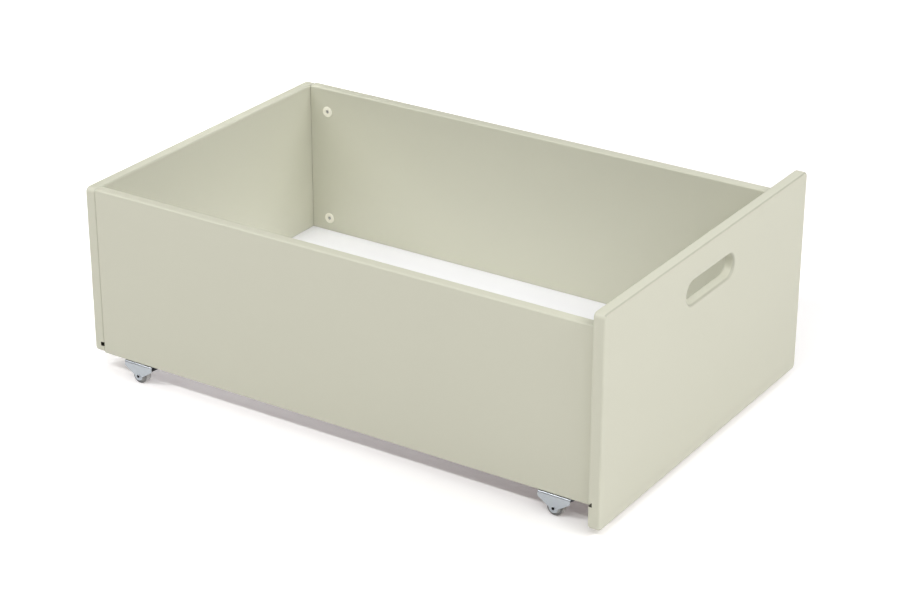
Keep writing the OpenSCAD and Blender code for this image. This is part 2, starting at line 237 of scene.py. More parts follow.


# Masks of rubbed edges with painted highlights, and of painted shade, the first broken up by noise
def makeWearSheenAndShadeGroup():
    group, given, result = newGroup(
        "edgeWearSheenAndShade",
        [("Vector", "NodeSocketVector", None), ("Scale", "NodeSocketFloat", 60.0),
         ("Amount", "NodeSocketFloat", 0.5)],
        [("Mask", "NodeSocketFloat"), ("PaintedShade", "NodeSocketFloat")])
    wearAndSheen = addNode(group, "ShaderNodeAttribute", attribute_name="wearAndSheen")
    hollow = addNode(group, "ShaderNodeAttribute", attribute_name="hollow")
    patches = addNode(group, "ShaderNodeTexNoise", {"Detail": 4.0, "Roughness": 0.6})
    spread = addNode(group, "ShaderNodeMapRange", {"From Min": 0.35, "From Max": 0.7})
    worn = addNode(group, "ShaderNodeMath", operation="MULTIPLY")
    scaled = addNode(group, "ShaderNodeMath", operation="MULTIPLY", use_clamp=True)
    link = group.links.new
    link(given.outputs["Vector"], patches.inputs["Vector"])
    link(given.outputs["Scale"], patches.inputs["Scale"])
    link(patches.outputs[0], spread.inputs["Value"])
    link(spread.outputs[0], worn.inputs[0])
    link(wearAndSheen.outputs["Fac"], worn.inputs[1])
    link(worn.outputs[0], scaled.inputs[0])
    link(given.outputs["Amount"], scaled.inputs[1])
    link(scaled.outputs[0], result.inputs["Mask"])
    link(hollow.outputs["Fac"], result.inputs["PaintedShade"])
    return group


# Height of a fine skin, such as sprayed paint or moulded plastic
def makeSkinGroup(gritFineness=5.0):
    group, given, result = newGroup(
        "fineSkin",
        [("Vector", "NodeSocketVector", None), ("Scale", "NodeSocketFloat", 400.0),
         ("Grit", "NodeSocketFloat", 0.25)],
        [("Height", "NodeSocketFloat")])
    waves = addNode(group, "ShaderNodeTexNoise", {"Detail": 1.0, "Roughness": 0.4})
    finer = addNode(group, "ShaderNodeMath", {1: gritFineness}, operation="MULTIPLY")
    grit = addNode(group, "ShaderNodeTexNoise", {"Detail": 2.0, "Roughness": 0.6})
    blend = addNode(group, "ShaderNodeMix", data_type="FLOAT")
    link = group.links.new
    link(given.outputs["Vector"], waves.inputs["Vector"])
    link(given.outputs["Scale"], waves.inputs["Scale"])
    link(given.outputs["Scale"], finer.inputs[0])
    link(given.outputs["Vector"], grit.inputs["Vector"])
    link(finer.outputs[0], grit.inputs["Scale"])
    link(given.outputs["Grit"], blend.inputs[mixFactor])
    link(waves.outputs[0], blend.inputs[floatA])
    link(grit.outputs[0], blend.inputs[floatB])
    link(blend.outputs[mixedFloat], result.inputs["Height"])
    return group


mottleGroup = makeMottleGroup()
wearSheenAndShadeGroup = makeWearSheenAndShadeGroup()
skinGroup = makeSkinGroup()
print("node groups made")


# Finishes

# Material with mottled colour, rubbed edges and painted highlights, painted shade, uneven gloss and a
# fine skin
def makeFinish(name, look, ior=1.5):
    material = bpy.data.materials.new(name)
    material.use_nodes = True
    tree = material.node_tree
    link = tree.links.new
    shader = tree.nodes["Principled BSDF"]
    shader.inputs["Metallic"].default_value = look.get("metallic", 0.0)
    shader.inputs["IOR"].default_value = ior
    place = addNode(tree, "ShaderNodeTexCoord")
    mottle = addNode(tree, "ShaderNodeGroup", node_tree=mottleGroup)
    mottle.inputs["Color"].default_value = (*look["color"], 1)
    mottle.inputs["Scale"].default_value = look["mottleScale"]
    mottle.inputs["Speckle Scale"].default_value = look["speckleScale"]
    mottle.inputs["Amount"].default_value = look["mottle"]
    wearAndSheen = addNode(tree, "ShaderNodeGroup", node_tree=wearSheenAndShadeGroup)
    wearAndSheen.inputs["Scale"].default_value = look["wearScale"]
    wearAndSheen.inputs["Amount"].default_value = look["wearAndSheen"]
    rubbedAndShone = addNode(tree, "ShaderNodeMix", data_type="RGBA")
    rubbedAndShone.inputs[colorB].default_value = (*look["wearAndSheenColor"], 1)
    paintedShadeMix = addNode(tree, "ShaderNodeMix", data_type="RGBA")
    paintedShadeMix.inputs[colorB].default_value = (*look["paintedShadeColor"], 1)
    smoothest, roughest = look["roughness"]
    gloss = addNode(tree, "ShaderNodeMapRange", {"To Min": smoothest, "To Max": roughest})
    skin = addNode(tree, "ShaderNodeGroup", node_tree=skinGroup)
    skin.inputs["Scale"].default_value = look["skinScale"]
    skin.inputs["Grit"].default_value = look["grit"]
    bump = addNode(tree, "ShaderNodeBump", {"Strength": look["bump"], "Distance": look["skinDepth"]})
    for group in (mottle, wearAndSheen, skin):
        link(place.outputs["Object"], group.inputs["Vector"])
    link(mottle.outputs["Color"], rubbedAndShone.inputs[colorA])
    link(wearAndSheen.outputs["Mask"], rubbedAndShone.inputs[mixFactor])
    link(rubbedAndShone.outputs[mixedColor], paintedShadeMix.inputs[colorA])
    link(wearAndSheen.outputs["PaintedShade"], paintedShadeMix.inputs[mixFactor])
    link(paintedShadeMix.outputs[mixedColor], shader.inputs["Base Color"])
    link(mottle.outputs["Mask"], gloss.inputs["Value"])
    link(gloss.outputs[0], shader.inputs["Roughness"])
    link(skin.outputs["Height"], bump.inputs["Height"])
    link(bump.outputs["Normal"], shader.inputs["Normal"])
    return material


# Satin paint sprayed on fibreboard
paintLook = {
    "color": (0.610, 0.607, 0.494),
    "wearAndSheenColor": (0.64, 0.637, 0.525),
    "paintedShadeColor": (0.020, 0.017, 0.012),
    "mottle": 0.03,
    "mottleScale": 5.0,
    "speckleScale": 500.0,
    "wearAndSheen": 0.5,
    "wearScale": 90.0,
    "roughness": (0.38, 0.50),
    "skinScale": 420.0,
    "grit": 0.2,
    "bump": 0.12,
    "skinDepth": 0.25 * mm,
}
paint = makeFinish("satinPaint", paintLook)

# Smooth white facing of the base
whiteLook = {
    "color": (0.935, 0.935, 0.980),
    "wearAndSheenColor": (0.62, 0.55, 0.46),
    "paintedShadeColor": (0.10, 0.08, 0.06),
    "mottle": 0.02,
    "mottleScale": 4.0,
    "speckleScale": 800.0,
    "wearAndSheen": 0.0,
    "wearScale": 90.0,
    "roughness": (0.30, 0.42),
    "skinScale": 700.0,
    "grit": 0.4,
    "bump": 0.06,
    "skinDepth": 0.15 * mm,
}
whiteFacing = makeFinish("whiteFacing", whiteLook)

# Cream plastic of the cam housings
creamLook = {
    "color": (0.93, 0.91, 0.78),
    "wearAndSheenColor": (0.95, 0.94, 0.85),
    "paintedShadeColor": (0.06, 0.055, 0.04),
    "mottle": 0.04,
    "mottleScale": 60.0,
    "speckleScale": 1500.0,
    "wearAndSheen": 0.4,
    "wearScale": 300.0,
    "roughness": (0.32, 0.46),
    "skinScale": 1800.0,
    "grit": 0.3,
    "bump": 0.10,
    "skinDepth": 0.08 * mm,
}
creamPlastic = makeFinish("creamPlastic", creamLook)

# Bright zinc plating on pressed steel, a little blue
zincLook = {
    "color": (0.52, 0.56, 0.60),
    # bright colour of rubbed edges and of the painted highlight on the bends
    "wearAndSheenColor": (0.86, 0.88, 0.92),
    "paintedShadeColor": (0.03, 0.03, 0.035),
    "metallic": 1.0,
    "mottle": 0.16,
    "mottleScale": 130.0,
    "speckleScale": 1600.0,
    "wearAndSheen": 0.8,
    "wearScale": 400.0,
    "roughness": (0.24, 0.42),
    "skinScale": 1500.0,
    "grit": 0.4,
    "bump": 0.15,
    "skinDepth": 0.06 * mm,
}
zincPlate = makeFinish("zincPlate", zincLook)

# Die cast metal of the cams
castLook = {
    "color": (0.60, 0.60, 0.60),
    "wearAndSheenColor": (0.70, 0.70, 0.70),
    "paintedShadeColor": (0.03, 0.03, 0.03),
    "metallic": 0.4,
    "mottle": 0.25,
    "mottleScale": 220.0,
    "speckleScale": 2500.0,
    "wearAndSheen": 0.0,
    "wearScale": 300.0,
    "roughness": (0.42, 0.62),
    "skinScale": 1600.0,
    "grit": 0.6,
    "bump": 0.3,
    "skinDepth": 0.08 * mm,
}
castMetal = makeFinish("castMetal", castLook)

# Grey moulded plastic of the wheels, scuffed on the tread
wheelLook = {
    "color": (0.62, 0.62, 0.60),
    "wearAndSheenColor": (0.50, 0.49, 0.47),
    "paintedShadeColor": (0.10, 0.10, 0.10),
    "mottle": 0.08,
    "mottleScale": 120.0,
    "speckleScale": 2000.0,
    "wearAndSheen": 0.55,
    "wearScale": 260.0,
    "roughness": (0.38, 0.58),
    "skinScale": 1600.0,
    "grit": 0.5,
    "bump": 0.2,
    "skinDepth": 0.08 * mm,
}
wheelPlastic = makeFinish("wheelPlastic", wheelLook)

# Raw wood of the dowels
dowelLook = {
    "color": (0.66, 0.49, 0.30),
    "wearAndSheenColor": (0.55, 0.40, 0.24),
    "paintedShadeColor": (0.10, 0.07, 0.04),
    "mottle": 0.25,
    "mottleScale": 90.0,
    "speckleScale": 1200.0,
    "wearAndSheen": 0.0,
    "wearScale": 300.0,
    "roughness": (0.55, 0.75),
    "skinScale": 1400.0,
    "grit": 0.6,
    "bump": 0.4,
    "skinDepth": 0.12 * mm,
}
dowelWood = makeFinish("dowelWood", dowelLook)
print("finishes made")


# Places that several pieces share, read from the frame

sideLow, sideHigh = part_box("right_side_panel")
baseLow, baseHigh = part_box("base_panel")
innerFace = sideLow.x                    # inner face of a side panel, from the middle of the box
jointPlace = {-1: sideLow.y, 1: sideHigh.y}
endNames = {-1: "front", 1: "rear"}
sideNames = {-1: "left", 1: "right"}

# Fittings at the four corners and the groove for the base
joinery = {
    "groovePlay": 0.4 * mm,
    "camInset": 40 * mm,
    "camSetback": 34 * mm,
    "camHole": 15.2 * mm,
    "camDepth": 13 * mm,
    "boltDepth": 9 * mm,
    "boltHole": 7.2 * mm,
    "threadHole": 5.2 * mm,
    "threadDepth": 12 * mm,
    "dowelHole": 8.2 * mm,
    "dowelSideDepth": 20 * mm,
    "dowelPanelDepth": 12 * mm,
    "screwHole": 3.7 * mm,
    "screwDepth": 15.5 * mm,
    "screwInset": 7 * mm,
}
grooveTop = baseHigh.z + joinery["groovePlay"]
grooveReach = baseHigh.x + joinery["groovePlay"]
camHeights = (sideLow.z + joinery["camInset"], sideHigh.z - joinery["camInset"])
dowelHeight = (sideLow.z + sideHigh.z) / 2
boltAcross = innerFace + joinery["boltDepth"]


# Holes for bolts and dowels in a front (end -1) or back (end 1) panel
def addPanelHoles(bm, end):
    face = jointPlace[end]
    for side in (-1, 1):
        holes = [(height, joinery["threadDepth"], joinery["threadHole"]) for height in camHeights]
        holes.append((dowelHeight, joinery["dowelPanelDepth"], joinery["dowelHole"]))
        for height, depth, diameter in holes:
            addRod(bm, (side * boltAcross, face - end * past, height),
                   (side * boltAcross, face + end * depth, height), diameter)


def addPanelGroove(bm, end, low, high):
    reach = grooveReach - innerFace
    face = jointPlace[end]
    addBlock(bm, (low.x - past, face - end * past, baseLow.z),
             (high.x + past, face + end * reach, grooveTop))


# Front and back panels

painted = {
    "cornerRadius": 8 * mm,
    "cornerSegments": 8,
    "edgeEase": 3 * mm,
    "edgeSegments": 6,
    "endEase": 1 * mm,
    "endSegments": 3,
    "grooveShade": 0.95,     # bare board inside the grooves, with painted shade that takes it near black
    "jointShade": 0.8,       # painted shade, a thin dark line where two boards meet
    "backJointShade": 0.11,  # weaker painted shade in the joints on the outside at the back
    "frontShade": 0.24,      # painted shade on the level edges of the front face
    "backTopShade": 0.14,    # painted shade on the inner top edge of the back panel
    "levelTurn": 0.2,        # how far a level edge has turned before its shade starts
    "levelSpread": 1.6,      # how soon that shade is full, well before 45 degrees
    "jointTurn": 0.5,        # how far an upright edge has turned where its shade starts
    "jointEase": 0.3,        # how eased a side panel's end edge is where its shade starts
}
standUp = Matrix.Rotation(math.pi / 2, 3, "X")     # turns what faces up to the front


def inGroove(polygon):
    margin = 0.5 * mm
    return baseLow.z - margin < polygon.center.z < grooveTop + margin


def levelShade(polygon):
    return min(1, painted["levelSpread"] * easedFace(polygon))


# Upright board with round corners and eased edges, its front face at low.y
def makeUprightBoard(name, low, high):
    bm = bmesh.new()
    addPlate(bm, high.x - low.x, high.z - low.z, painted["cornerRadius"], painted["cornerSegments"])
    bmesh.ops.solidify(bm, geom=bm.faces[:], thickness=high.y - low.y)
    roundEdges(bm, sharpEdges(bm), painted["edgeEase"], painted["edgeSegments"])
    bmesh.ops.rotate(bm, cent=(0, 0, 0), matrix=standUp, verts=bm.verts[:])
    middle = (low + high) / 2
    bmesh.ops.translate(bm, vec=(middle.x, low.y, middle.z), verts=bm.verts[:])
    return newPiece(name, bm)


handSlot = {
    "length": 140 * mm,
    "height": 35 * mm,
    "belowTop": 45 * mm,
    "frontEase": 4.5 * mm,
    "backEase": 5 * mm,
    "endSegments": 20,
    "easeSegments": 6,
}


# Cutter for the hand slot, which flares towards both faces of the panel
def makeSlotCutter(low, high):
    half = handSlot["height"] / 2
    straight = handSlot["length"] / 2 - half
    thickness = high.y - low.y
    steps = handSlot["easeSegments"]
    turns = [math.pi / 2 * step / steps for step in range(steps + 1)]
    front = handSlot["frontEase"]
    back = handSlot["backEase"]
    rings = [(front, -past)]
    rings += [(front * (1 - math.sin(turn)), front * (1 - math.cos(turn))) for turn in turns]
    rings += [(back * (1 - math.cos(turn)), thickness - back * (1 - math.sin(turn))) for turn in turns]
    rings.append((back, thickness + past))
    bm = bmesh.new()
    almost = 0.999      # keeps the two arcs of an end from meeting in one point
    addPlate(bm, handSlot["length"], handSlot["height"], half * almost, handSlot["endSegments"])
    ring = bm.verts[:]
    cap = bm.faces[:]
    radius = half
    for index, (spread, depth) in enumerate(rings):
        if index:
            made = bmesh.ops.extrude_face_region(bm, geom=cap)["geom"]
            if index > 1:       # only the first cap stays, as the cutter's end
                bmesh.ops.delete(bm, geom=cap, context="FACES_ONLY")
            ring = [part for part in made if isinstance(part, bmesh.types.BMVert)]
            cap = [part for part in made if isinstance(part, bmesh.types.BMFace)]
        for side in (-1, 1):
            end = [vert for vert in ring if vert.co.x * side > 0]
            grown = (half + spread) / radius
            bmesh.ops.scale(bm, vec=(grown, grown, 1), verts=end,
                            space=Matrix.Translation((-side * straight, 0, 0)))
        bmesh.ops.translate(bm, vec=(0, 0, -depth - ring[0].co.z), verts=ring)
        radius = half + spread
    bmesh.ops.recalc_face_normals(bm, faces=bm.faces[:])
    bmesh.ops.rotate(bm, cent=(0, 0, 0), matrix=standUp, verts=bm.verts[:])
    height = high.z - handSlot["belowTop"] - half
    bmesh.ops.translate(bm, vec=(0, low.y, height), verts=bm.verts[:])
    return bm


def makePanel(name, node, end):
    low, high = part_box(node)
    board = makeUprightBoard(name, low, high)
    if end < 0:
        cutAway(board, makeSlotCutter(low, high))
    cutter = bmesh.new()
    addPanelGroove(cutter, end, low, high)
    addPanelHoles(cutter, end)
    cutAway(board, cutter)
    smoothShade(board)
    markFaces(board, "wearAndSheen", easedFace)

    # painted shade: grooves, level edges of the front face, joints and inner top edge at the back
    def shade(polygon):
        if inGroove(polygon):
            return painted["grooveShade"]
        uprightEdge = abs(polygon.center.x) > high.x - painted["edgeEase"]
        turnedAhead = polygon.normal.y < -painted["levelTurn"]
        turnedUp = polygon.normal.z > painted["levelTurn"]
        if end < 0 and turnedAhead and not uprightEdge:
            return painted["frontShade"] * levelShade(polygon)
        if end > 0 and uprightEdge and polygon.normal.y < -painted["jointTurn"]:
            return painted["backJointShade"]
        if end > 0 and turnedAhead and turnedUp:
            return painted["backTopShade"] * levelShade(polygon)
        return 0

    markFaces(board, "hollow", shade)
    finishPiece(board, paint, "box", node)


makePanel("frontBoard", "front_panel", -1)
makePanel("backBoard", "back_panel", 1)


# Side panels, with their grooves, cam holes and screw holes

def makeSideBoard(name, node, side):
    low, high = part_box(node)
    bm = bmesh.new()
    addBlock(bm, low, high)
    longEdges = [edge for edge in bm.edges if abs(edge.verts[0].co.y - edge.verts[1].co.y) > mm]
    roundEdges(bm, longEdges, painted["edgeEase"], painted["edgeSegments"])
    roundEdges(bm, sharpEdges(bm), painted["endEase"], painted["endSegments"])
    board = newPiece(name, bm)
    cutter = bmesh.new()
    addBlock(cutter, (side * (innerFace - past), low.y - past, baseLow.z),
             (side * grooveReach, high.y + past, grooveTop))
    bolts = bmesh.new()
    for end in (-1, 1):
        face = jointPlace[end]
        camPlace = face - end * joinery["camSetback"]
        for height in camHeights:
            addRod(cutter, (side * (innerFace - past), camPlace, height),
                   (side * (innerFace + joinery["camDepth"]), camPlace, height), joinery["camHole"])
            addRod(bolts, (side * boltAcross, face + end * past, height),
                   (side * boltAcross, camPlace, height), joinery["boltHole"])
        addRod(bolts, (side * boltAcross, face + end * past, dowelHeight),
               (side * boltAcross, face - end * joinery["dowelSideDepth"], dowelHeight),
               joinery["dowelHole"])
        plateLow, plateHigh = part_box(f"{endNames[end]}_{sideNames[side]}_bracket")
        for along in (plateLow.y + joinery["screwInset"], plateHigh.y - joinery["screwInset"]):
            middle = (plateLow.x + plateHigh.x) / 2
            addRod(cutter, (middle, along, low.z - past),
                   (middle, along, low.z + joinery["screwDepth"]), joinery["screwHole"])
    cutAway(board, cutter)
    cutAway(board, bolts)
    smoothShade(board)
    markFaces(board, "wearAndSheen", easedFace)

    # painted shade in the grooves and in the joints at the ends
    def shade(polygon):
        atEnd = abs(polygon.center.y) > high.y - painted["endEase"]
        if inGroove(polygon):
            return painted["grooveShade"]
        if atEnd and easedFace(polygon) > painted["jointEase"]:
            outsideAtBack = polygon.center.x * side > boltAcross and polygon.center.y > 0
            return painted["backJointShade" if outsideAtBack else "jointShade"]
        return 0

    markFaces(board, "hollow", shade)
    finishPiece(board, paint, "box", node)


makeSideBoard("leftSideBoard", "left_side_panel", -1)
makeSideBoard("rightSideBoard", "right_side_panel", 1)


# Base panel, a thin board with its sharp saw edges just broken

baseSheet = {"edgeBreak": 0.4 * mm, "edgeSegments": 2}


def makeBase():
    bm = bmesh.new()
    addBlock(bm, baseLow, baseHigh)
    roundEdges(bm, bm.edges[:], baseSheet["edgeBreak"], baseSheet["edgeSegments"])
    sheet = newPiece("baseSheet", bm)
    smoothShade(sheet)
    markFaces(sheet, "wearAndSheen", easedFace)
    finishPiece(sheet, whiteFacing, "box", "base_panel")


makeBase()


# Cam housings: a flange with a round edge, a driver hole and a cup in the side panel

housing = {
    "flange": 18 * mm,
    "flangeHeight": 1.2 * mm,
    "flangeRound": 0.8 * mm,
    "driverHole": 6 * mm,
    "driverRound": 0.35 * mm,
    "barrel": 15 * mm,
    "wall": 1.4 * mm,
    "face": 1 * mm,
    "depth": 13 * mm,
    "segments": 64,
}


def makeHousings():
    flange = housing["flange"] / 2
    driver = housing["driverHole"] / 2
    barrel = housing["barrel"] / 2
    proud = -housing["flangeHeight"]
    bm = turnedRing([
        (driver, proud, housing["driverRound"]),
        (flange, proud, housing["flangeRound"]),
        (flange, 0, 0),
        (barrel, 0, 0),
        (barrel, housing["depth"], 0),
        (barrel - housing["wall"], housing["depth"], 0),
        (barrel - housing["wall"], housing["face"], 0),
        (driver, housing["face"], 0),
    ], housing["segments"])
    single = newPiece("oneHousing", bm)
    hole = bmesh.new()
    depth = joinery["boltDepth"]
    addRod(hole, (depth, 0, 0), (depth, housing["barrel"], 0), joinery["boltHole"])
    cutAway(single, hole)
    bm = bmesh.new()
    for side in (-1, 1):
        for end in (-1, 1):
            into = Vector((side, 0, 0))
            toJoint = Vector((0, end, 0))
            turn = Matrix((into, toJoint, into.cross(toJoint))).transposed()
            along = jointPlace[end] - end * joinery["camSetback"]
            for height in camHeights:
                place = Vector((side * innerFace, along, height))
                before = len(bm.verts)
                bm.from_mesh(single.data)
                bm.verts.ensure_lookup_table()
                bmesh.ops.transform(bm, matrix=Matrix.Translation(place) @ turn.to_4x4(),
                                    verts=bm.verts[before:])
    removePiece(single)
    housings = newPiece("camHousings", bm)
    smoothShade(housings)
    markFaces(housings, "wearAndSheen", easedFace)
    finishPiece(housings, creamPlastic, "box", "cam_housings")


makeHousings()


# Casters: bracket, hollow rivet and wheel at each corner

bracket = {
    "sheet": 1.5 * mm,
    "bend": 4 * mm,          # outside radius
    "bendSegments": 8,
    "cheekEnd": 9 * mm,
    "cheekRound": 7.25 * mm,
    "roundSegments": 12,
    "cornerRound": 1.5 * mm,
    "edgeRound": 0.3 * mm,
    "edgeSegments": 2,
    "axleHole": 5.2 * mm,
    # painted shade inside the channel
    "insideShade": 0.8,
    "insideShare": 0.75,     # how deep in the sheet a face counts as inside
    "bendShade": 0.9,        # painted shade for the gap between the plate and the board above it
    "bendShine": (0.1, 0.7),  # painted highlight: how far up the bright part of the bend faces
}


def fromAxle(polygon, axle):
    return math.hypot(polygon.center.y - axle.y, polygon.center.z - axle.z)


def cornerName(corner, part):
    end, side = corner.split("_")
    return end + side.title() + part


def makeBracket(corner, axle):
    low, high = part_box(corner + "_bracket")
    outer = (high.x - low.x) / 2
    reach = (high.y - low.y) / 2
    top = high.z - axle.z
    rise = top - bracket["cheekEnd"]
    bend = bracket["bend"]
    radius = bracket["cheekRound"]
    ease = bracket["cornerRound"]
    bm = bmesh.new()
    # one cheek about the axle: points along Y and Z, each with the length that its arc takes
    outline = [(reach, top - bend, 0), (reach, rise, ease), (radius, 0, 0), (radius, -radius, radius)]
    outline += [(-along, up, arc) for along, up, arc in reversed(outline)]
    verts = [bm.verts.new((-outer, along, up)) for along, up, arc in outline]
    bm.faces.new(verts)
    plateEdge = bm.edges.get((verts[0], verts[-1]))
    for vert, (along, up, arc) in zip(verts, outline):
        if arc:
            roundCorners(bm, [vert], arc, bracket["roundSegments"])
    # the bend and half of the plate, then the other half
    turned = bmesh.ops.spin(bm, geom=[plateEdge, *plateEdge.verts], cent=(bend - outer, 0, top - bend),
                            axis=(0, 1, 0), angle=math.pi / 2,
                            steps=bracket["bendSegments"])["geom_last"]
    lastEdges = [part for part in turned if isinstance(part, bmesh.types.BMEdge)]
    drawn = bmesh.ops.extrude_edge_only(bm, edges=lastEdges)["geom"]
    moved = [part for part in drawn if isinstance(part, bmesh.types.BMVert)]
    bmesh.ops.translate(bm, vec=(outer - bend, 0, 0), verts=moved)
    bmesh.ops.mirror(bm, geom=bm.verts[:] + bm.edges[:] + bm.faces[:], axis="X", merge_dist=mergeReach)
    bmesh.ops.remove_doubles(bm, verts=bm.verts[:], dist=mergeReach)
    bmesh.ops.recalc_face_normals(bm, faces=bm.faces[:])
    plate = max(bm.faces, key=lambda face: face.calc_center_median().z)
    if plate.normal.z < 0:
        bmesh.ops.reverse_faces(bm, faces=bm.faces[:])
    bmesh.ops.solidify(bm, geom=bm.faces[:], thickness=bracket["sheet"])
    roundEdges(bm, sharpEdges(bm), bracket["edgeRound"], bracket["edgeSegments"])
    bmesh.ops.translate(bm, vec=axle, verts=bm.verts[:])
    piece = newPiece(cornerName(corner, "Bracket"), bm)
    holes = bmesh.new()
    addRod(holes, (low.x - past, axle.y, axle.z), (high.x + past, axle.y, axle.z), bracket["axleHole"])
    for along in (low.y + joinery["screwInset"], high.y - joinery["screwInset"]):
        addRod(holes, (axle.x, along, high.z - bracket["sheet"] - past), (axle.x, along, high.z + past),
               joinery["screwHole"])
    cutAway(piece, holes)
    smoothShade(piece)
    skin = bracket["sheet"] * bracket["insideShare"]
    flattest, steepest = bracket["bendShine"]

    # painted shade inside the channel and on the top of the bend
    def shade(polygon):
        place = polygon.center - axle
        if abs(place.x) < outer - skin and place.z < top - skin:
            return bracket["insideShade"]
        return bracket["bendShade"] if polygon.normal.z > steepest else 0

    # painted highlight on the bend below the painted shade, and wear on the other eased edges
    def shine(polygon):
        return 1.0 if flattest < polygon.normal.z <= steepest else easedFace(polygon)

    markFaces(piece, "wearAndSheen", shine)
    markFaces(piece, "hollow", shade)
    finishPiece(piece, zincPlate, "box", corner + "_bracket")


rivet = {
    "bore": 3.4 * mm,
    "shank": 5 * mm,
    "head": 7 * mm,
    "headHeight": 1 * mm,
    "headRound": 0.75 * mm,
    "boreRound": 0.8 * mm,
    "boreShade": 0.9,
    "mouth": 4.8 * mm,       # how wide the painted shade at the mouth of the bore is
    "segments": 48,
}


def makeRivet(corner, axle):
    low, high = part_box(corner + "_axle")
    end = (high.x - low.x) / 2
    seat = end - rivet["headHeight"]
    bm = turnedRing(bothSides([
        (rivet["bore"] / 2, end, rivet["boreRound"]),
        (rivet["head"] / 2, end, rivet["headRound"]),
        (rivet["head"] / 2, seat, 0),
        (rivet["shank"] / 2, seat, 0),
    ]), rivet["segments"])
    bmesh.ops.translate(bm, vec=axle, verts=bm.verts[:])
    piece = newPiece(cornerName(corner, "Rivet"), bm)
    smoothShade(piece)

    # painted shade in the mouth of the bore
    def shade(polygon):
        return rivet["boreShade"] if fromAxle(polygon, axle) < rivet["mouth"] / 2 else 0

    markFaces(piece, "wearAndSheen", easedFace)
    markFaces(piece, "hollow", shade)
    finishPiece(piece, zincPlate, "box", corner + "_axle")


wheel = {
    "bore": 5.16 * mm,
    "boreRound": 0.2 * mm,
    "hub": 11 * mm,
    "hubRound": 0.4 * mm,
    "treadWidth": 13 * mm,
    "treadRound": 2 * mm,
    "hollow": 1.6 * mm,
    "hollowRound": 0.5 * mm,
    "rim": 3 * mm,
    "rimRound": 0.4 * mm,
    "partingWidth": 0.5 * mm,
    "partingFloor": 0.125 * mm,
    "partingDepth": 0.12 * mm,
    "segments": 80,
    "edgeShade": 0.75,       # painted shade on the rim and on the rounded edges of the tread
}


def makeWheel(corner, axle):
    low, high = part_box(corner + "_wheel")
    radius = (high.z - low.z) / 2
    hubEnd = (high.x - low.x) / 2
    edge = wheel["treadWidth"] / 2
    web = edge - wheel["hollow"]
    bm = turnedRing(bothSides([
        (wheel["bore"] / 2, hubEnd, wheel["boreRound"]),
        (wheel["hub"] / 2, hubEnd, wheel["hubRound"]),
        (wheel["hub"] / 2, web, wheel["hollowRound"]),
        (radius - wheel["rim"], web, wheel["hollowRound"]),
        (radius - wheel["rim"], edge, wheel["rimRound"]),
        (radius, edge, wheel["treadRound"]),
        (radius, wheel["partingWidth"] / 2, 0),
        (radius - wheel["partingDepth"], wheel["partingFloor"] / 2, 0),
    ]), wheel["segments"])
    bmesh.ops.translate(bm, vec=axle, verts=bm.verts[:])
    piece = newPiece(cornerName(corner, "Wheel"), bm)
    smoothShade(piece)
    straight = edge - wheel["treadRound"]

    # the tread and the outer half of the rim are scuffed
    def scuff(polygon):
        return 1.0 if fromAxle(polygon, axle) > radius - wheel["rim"] / 2 else 0

    # painted shade on the rim and the rounded edges of the tread
    def shade(polygon):
        besideTread = abs(polygon.center.x - axle.x) > straight
        onRim = fromAxle(polygon, axle) > radius - wheel["rim"]
        return wheel["edgeShade"] if besideTread and onRim else 0

    markFaces(piece, "wearAndSheen", scuff)
    markFaces(piece, "hollow", shade)
    finishPiece(piece, wheelPlastic, "roller_" + corner, corner + "_wheel")


for end in (-1, 1):
    for side in (-1, 1):
        corner = f"{endNames[end]}_{sideNames[side]}"
        wheelLow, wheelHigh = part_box(corner + "_wheel")
        axle = (wheelLow + wheelHigh) / 2
        makeBracket(corner, axle)
        makeRivet(corner, axle)
        makeWheel(corner, axle)


# Solids that keep their own shape and get a finish

keptSolids = {
    "cam_locks": castMetal,
    "cam_bolts": zincPlate,
    "wood_dowels": dowelWood,
    "caster_screws": zincPlate,
}
for node, finish in keptSolids.items():
    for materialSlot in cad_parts[node].material_slots:
        materialSlot.material = finish
print("kept solids finished:", ", ".join(keptSolids))


# Studio: pale floor, soft panels and the camera

stage = {
    "floorSize": 60.0,
    "floorColor": (0.97, 0.97, 0.97, 1),
    "floorRoughness": 0.9,
    "floorSpecular": 0.1,
    "bounceColor": (0.80, 0.80, 0.80, 1),    # what the floor throws back on the box
    "nearGlow": (0.084, 0.070, 0.068, 1),    # painted light: the floor glows, less near glowMiddle, which paints the shadow under the box
    "farGlow": (0.218, 0.203, 0.201, 1),
    "glowMiddle": (-0.20, -0.40, 0),
    "glowReach": (0.0, 0.9),
    "glowAhead": (-0.43, -0.46),             # under the front panel, where the far glow starts and paints out the shadow in front
    "backdropReach": (1.3, 2.4),             # where the floor turns into the backdrop
    "backdropColor": (1, 1, 1, 1),
    "backdropStrength": 1.0,
    "fillColor": (1, 1, 1, 1),
    "fillStrength": 0.02,
}

# Soft panels: place, aim, width, height, glow (1 would itself show as white) and spread in degrees
panels = {
    "overheadPanel": ((0, 0, 3.5), (0, 0, 0.12), 4.0, 4.0, 0.60),
    "leftFrontStrip": ((-2.3, -1.8, 2.9), (0, -1.8, 0.12), 3.2, 0.35, 12.7),
    "leftBackStrip": ((-2.3, 1.8, 2.9), (0, 1.8, 0.12), 3.2, 0.35, 20.0),
    "frontPanel": ((0.3, -2.9, 2.7), (0, 0, 0.12), 3.4, 1.4, 5.88),
    "rightPanel": ((3.4, 0.2, 2.4), (0, 0, 0.12), 3.0, 2.0, 1.15),
    "backPanel": ((0.3, 3.2, 2.6), (0, 0, 0.12), 3.0, 2.0, 0.9),
    "rearTopPanel": ((0.1, 0.6, 1.8), (0.1, 0.6, 0), 0.6, 0.3, 0.54, 25),
}

